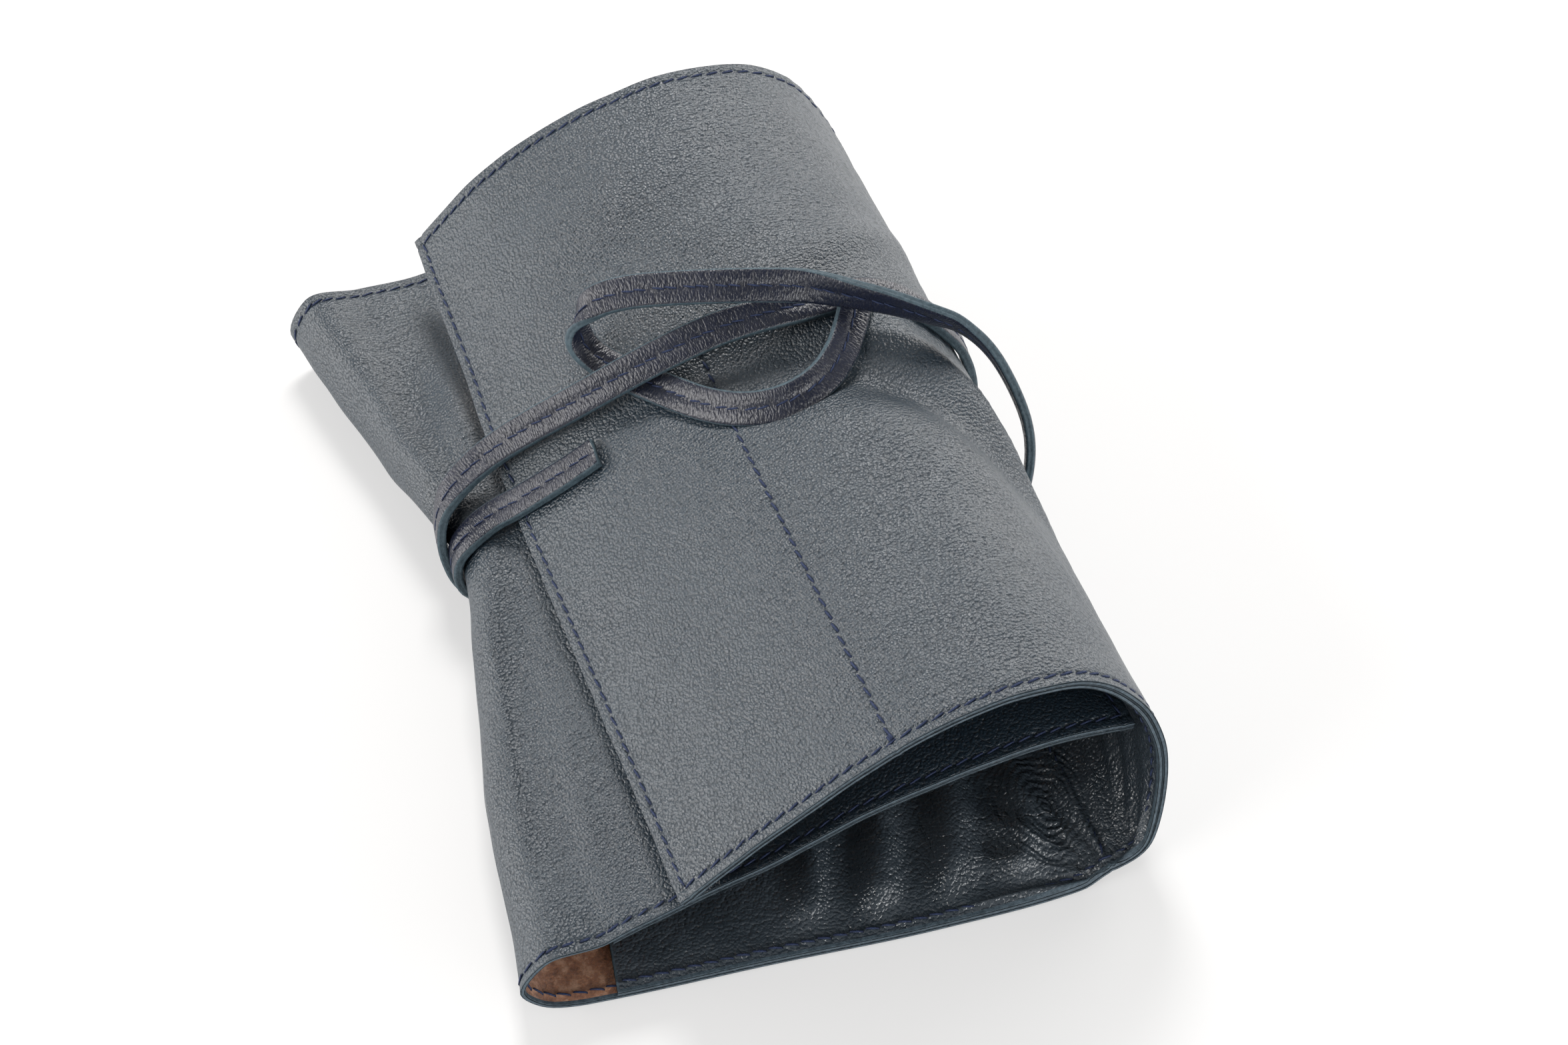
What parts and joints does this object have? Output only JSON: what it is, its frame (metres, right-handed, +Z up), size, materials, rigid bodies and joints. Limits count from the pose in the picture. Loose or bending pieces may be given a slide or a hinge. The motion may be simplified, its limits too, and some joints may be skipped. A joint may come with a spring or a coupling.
{
  "type": "pencil case",
  "caption": "Leather roll-up pencil case: a cover wound round a row of sewn pockets, closed by a long flat strap sewn to its flap.",
  "frame": {"origin": "under the middle of the rolled case, on the surface it lies on; the strap is left out of the measure", "axes": "+Z up; +Y along the roll, towards the end without pockets; +X towards the rounded side that the flap opens over"},
  "size_m": [0.1645, 0.2212, 0.0781],
  "materials": {
    "cover_leather": "satin pebble-grain leather, edges dyed blue",
    "pocket_leather": "smooth glossy leather",
    "strap_leather": "folded satin leather, edges dyed blue",
    "thread": "twisted polyester sewing thread"
  },
  "bodies": {
    "root": {"cover_base": "cover_leather", "cover_leaf": "cover_leather", "divider_seam_base": "thread", "far_seam_base": "thread", "far_seam_leaf": "thread", "leaf_edge_seam": "thread", "near_seam_base": "thread", "near_seam_leaf": "thread", "pocket_base": "pocket_leather", "pocket_leaf": "pocket_leather"},
    "side": {"cover_side": "cover_leather", "far_seam_side": "thread", "near_seam_side": "thread", "pocket_side": "pocket_leather"},
    "shoulder": {"cover_shoulder": "cover_leather", "far_seam_shoulder": "thread", "near_seam_shoulder": "thread", "pocket_shoulder": "pocket_leather"},
    "flap": {"cover_flap": "cover_leather", "divider_seam_flap": "thread", "far_seam_flap": "thread", "flap_edge_seam": "thread", "near_seam_flap": "thread", "pocket_flap": "pocket_leather", "strap": "strap_leather", "strap_tab": "strap_leather"}
  },
  "joints": [
    {"name": "side_bend", "type": "hinge", "parent": "root", "child": "side", "pos_m": [0.0713, 0, 0.0058], "axis": [0, 1, 0], "range_deg": [0, 67], "deforming": ["strap"]},
    {"name": "shoulder_bend", "type": "hinge", "parent": "side", "child": "shoulder", "pos_m": [0.0767, 0, 0.0362], "axis": [0, 1, 0], "range_deg": [0, 50]},
    {"name": "flap_bend", "type": "hinge", "parent": "shoulder", "child": "flap", "pos_m": [0.0557, 0, 0.0676], "axis": [0, 1, 0], "range_deg": [0, 80]}
  ],
  "couplings": [
    {"joint": "shoulder_bend", "follows": "side_bend", "ratio": 0.7463},
    {"joint": "flap_bend", "follows": "side_bend", "ratio": 1.194}
  ]
}
